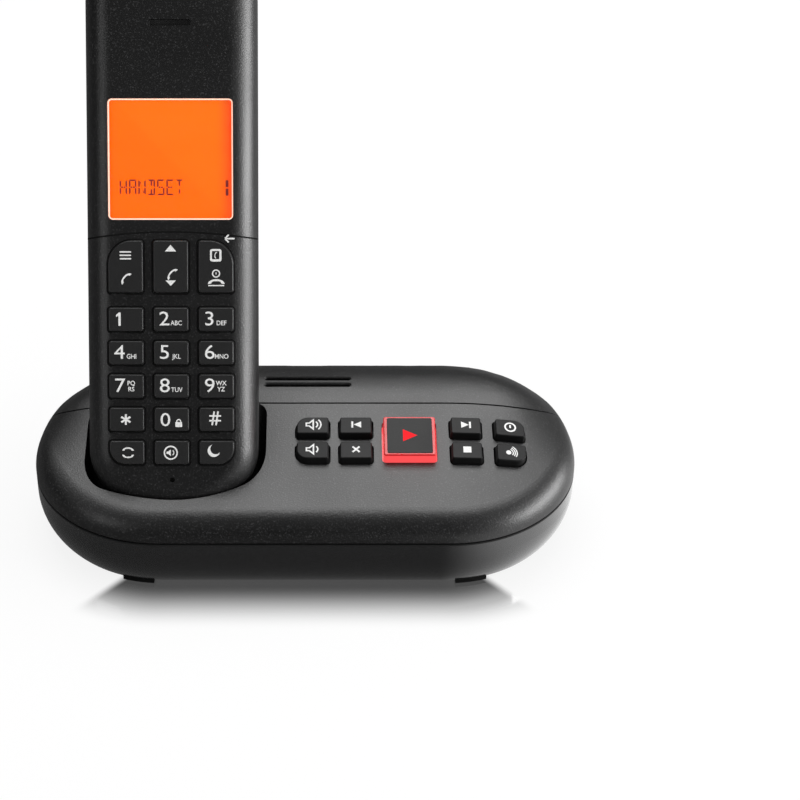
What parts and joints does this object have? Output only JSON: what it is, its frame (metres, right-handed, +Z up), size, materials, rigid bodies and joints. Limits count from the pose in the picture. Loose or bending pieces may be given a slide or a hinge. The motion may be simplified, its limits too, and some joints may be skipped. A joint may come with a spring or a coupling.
{
  "type": "answering machine",
  "caption": "Desk telephone answering machine: low rounded base with message keys and speaker slots, and a cordless handset standing in its charging cradle.",
  "frame": {"origin": "centre of the bounding box on the plane the feet stand on", "axes": "+X to the right of the user, along the base; +Y away from the user, to the sockets; +Z up"},
  "size_m": [0.159, 0.1072, 0.1568],
  "materials": {
    "shell": "fine grain",
    "lower": "satin",
    "keys": "fine satin",
    "play_frame": "clear red, lit from below",
    "window": "tinted clear",
    "display": "backlit",
    "silicone": "matt",
    "gasket": "foam",
    "feet": "matt",
    "board": "solder mask",
    "steel": "zinc plated",
    "gold": "plated",
    "lamp": "clear red",
    "socket": "moulded",
    "cable": "film",
    "cells": "shrink sleeve",
    "speaker": "paper and steel"
  },
  "bodies": {
    "base": {"bottom_shell": "lower", "front_cover": "shell", "rear_cover": "shell", "key_mat": "silicone", "key_board": "board", "play_key_lamp": "lamp", "main_board": "board", "board_screws": "steel", "radio_shield": "steel", "loudspeaker": "speaker", "speaker_gasket": "gasket", "charging_contacts": "gold", "power_socket": "socket", "line_socket": "socket", "ribbon_cable": "cable", "case_screws": "steel", "rubber_feet": "feet"},
    "handset": {"handset_front": "shell", "display_bezel": "shell", "display_window": "window", "display_module": "display", "handset_back": "shell", "battery_cover": "shell", "battery_cells": "cells", "battery_contacts": "steel", "handset_board": "board", "handset_key_mat": "silicone", "earpiece": "speaker", "microphone": "speaker", "ringer": "speaker", "charging_pads": "gold", "handset_screws": "steel"},
    "volume_up_key": {"volume_up_key": "keys"},
    "volume_down_key": {"volume_down_key": "keys"},
    "previous_key": {"previous_key": "keys"},
    "delete_key": {"delete_key": "keys"},
    "play_key": {"play_key": "play_frame", "play_key_cap": "keys"},
    "next_key": {"next_key": "keys"},
    "stop_key": {"stop_key": "keys"},
    "answer_power_key": {"answer_power_key": "keys"},
    "find_handset_key": {"find_handset_key": "keys"},
    "night_key": {"night_key": "keys"},
    "speaker_key": {"speaker_key": "keys"},
    "intercom_key": {"intercom_key": "keys"},
    "hash_key": {"hash_key": "keys"},
    "star_key": {"star_key": "keys"},
    "key_0": {"key_0": "keys"},
    "key_1": {"key_1": "keys"},
    "key_2": {"key_2": "keys"},
    "key_3": {"key_3": "keys"},
    "key_4": {"key_4": "keys"},
    "key_5": {"key_5": "keys"},
    "key_6": {"key_6": "keys"},
    "key_7": {"key_7": "keys"},
    "key_8": {"key_8": "keys"},
    "key_9": {"key_9": "keys"},
    "right_key": {"right_key": "keys"},
    "left_key": {"left_key": "keys"},
    "rocker_key": {"rocker_key": "keys"}
  },
  "joints": [
    {"name": "volume_up_key_press", "type": "slide", "parent": "base", "child": "volume_up_key", "axis": [0, 0.2267, -0.974], "range_m": [0, 0.0006], "stiffness_N_per_m": 1500},
    {"name": "volume_down_key_press", "type": "slide", "parent": "base", "child": "volume_down_key", "axis": [0, 0.2267, -0.974], "range_m": [0, 0.0006], "stiffness_N_per_m": 1500},
    {"name": "previous_key_press", "type": "slide", "parent": "base", "child": "previous_key", "axis": [0, 0.2267, -0.974], "range_m": [0, 0.0006], "stiffness_N_per_m": 1500},
    {"name": "delete_key_press", "type": "slide", "parent": "base", "child": "delete_key", "axis": [0, 0.2267, -0.974], "range_m": [0, 0.0006], "stiffness_N_per_m": 1500},
    {"name": "play_key_press", "type": "slide", "parent": "base", "child": "play_key", "axis": [0, 0.2267, -0.974], "range_m": [0, 0.0006], "stiffness_N_per_m": 2000},
    {"name": "next_key_press", "type": "slide", "parent": "base", "child": "next_key", "axis": [0.04, 0.2265, -0.9732], "range_m": [0, 0.0006], "stiffness_N_per_m": 1500},
    {"name": "stop_key_press", "type": "slide", "parent": "base", "child": "stop_key", "axis": [0.04, 0.2265, -0.9732], "range_m": [0, 0.0006], "stiffness_N_per_m": 1500},
    {"name": "answer_power_key_press", "type": "slide", "parent": "base", "child": "answer_power_key", "axis": [0.1307, 0.2247, -0.9656], "range_m": [0, 0.0006], "stiffness_N_per_m": 1500},
    {"name": "find_handset_key_press", "type": "slide", "parent": "base", "child": "find_handset_key", "axis": [0.1307, 0.2247, -0.9656], "range_m": [0, 0.0006], "stiffness_N_per_m": 1500},
    {"name": "handset_lift", "type": "slide", "parent": "base", "child": "handset", "axis": [0, 0.515, 0.8572], "range_m": [0, 0.06]},
    {"name": "night_key_press", "type": "slide", "parent": "handset", "child": "night_key", "axis": [0, 0.8572, -0.515], "range_m": [0, 0.0005], "stiffness_N_per_m": 1500},
    {"name": "speaker_key_press", "type": "slide", "parent": "handset", "child": "speaker_key", "axis": [0, 0.8572, -0.515], "range_m": [0, 0.0005], "stiffness_N_per_m": 1500},
    {"name": "intercom_key_press", "type": "slide", "parent": "handset", "child": "intercom_key", "axis": [0, 0.8572, -0.515], "range_m": [0, 0.0005], "stiffness_N_per_m": 1500},
    {"name": "hash_key_press", "type": "slide", "parent": "handset", "child": "hash_key", "axis": [0, 0.8572, -0.515], "range_m": [0, 0.0005], "stiffness_N_per_m": 1500},
    {"name": "star_key_press", "type": "slide", "parent": "handset", "child": "star_key", "axis": [0, 0.8572, -0.515], "range_m": [0, 0.0005], "stiffness_N_per_m": 1500},
    {"name": "key_0_press", "type": "slide", "parent": "handset", "child": "key_0", "axis": [0, 0.8572, -0.515], "range_m": [0, 0.0005], "stiffness_N_per_m": 1500},
    {"name": "key_1_press", "type": "slide", "parent": "handset", "child": "key_1", "axis": [0, 0.8572, -0.515], "range_m": [0, 0.0005], "stiffness_N_per_m": 1500},
    {"name": "key_2_press", "type": "slide", "parent": "handset", "child": "key_2", "axis": [0, 0.8572, -0.515], "range_m": [0, 0.0005], "stiffness_N_per_m": 1500},
    {"name": "key_3_press", "type": "slide", "parent": "handset", "child": "key_3", "axis": [0, 0.8572, -0.515], "range_m": [0, 0.0005], "stiffness_N_per_m": 1500},
    {"name": "key_4_press", "type": "slide", "parent": "handset", "child": "key_4", "axis": [0, 0.8572, -0.515], "range_m": [0, 0.0005], "stiffness_N_per_m": 1500},
    {"name": "key_5_press", "type": "slide", "parent": "handset", "child": "key_5", "axis": [0, 0.8572, -0.515], "range_m": [0, 0.0005], "stiffness_N_per_m": 1500},
    {"name": "key_6_press", "type": "slide", "parent": "handset", "child": "key_6", "axis": [0, 0.8572, -0.515], "range_m": [0, 0.0005], "stiffness_N_per_m": 1500},
    {"name": "key_7_press", "type": "slide", "parent": "handset", "child": "key_7", "axis": [0, 0.8572, -0.515], "range_m": [0, 0.0005], "stiffness_N_per_m": 1500},
    {"name": "key_8_press", "type": "slide", "parent": "handset", "child": "key_8", "axis": [0, 0.8572, -0.515], "range_m": [0, 0.0005], "stiffness_N_per_m": 1500},
    {"name": "key_9_press", "type": "slide", "parent": "handset", "child": "key_9", "axis": [0, 0.8572, -0.515], "range_m": [0, 0.0005], "stiffness_N_per_m": 1500},
    {"name": "right_key_press", "type": "slide", "parent": "handset", "child": "right_key", "axis": [0, 0.8572, -0.515], "range_m": [0, 0.0005], "stiffness_N_per_m": 1500},
    {"name": "left_key_press", "type": "slide", "parent": "handset", "child": "left_key", "axis": [0, 0.8572, -0.515], "range_m": [0, 0.0005], "stiffness_N_per_m": 1500},
    {"name": "rocker_key_tilt", "type": "hinge", "parent": "handset", "child": "rocker_key", "pos_m": [-0.03735, -0.00773, 0.08163], "axis": [1, 0, 0], "range_deg": [-2.5, 2.5], "stiffness_Nm_per_rad": 0.15}
  ]
}
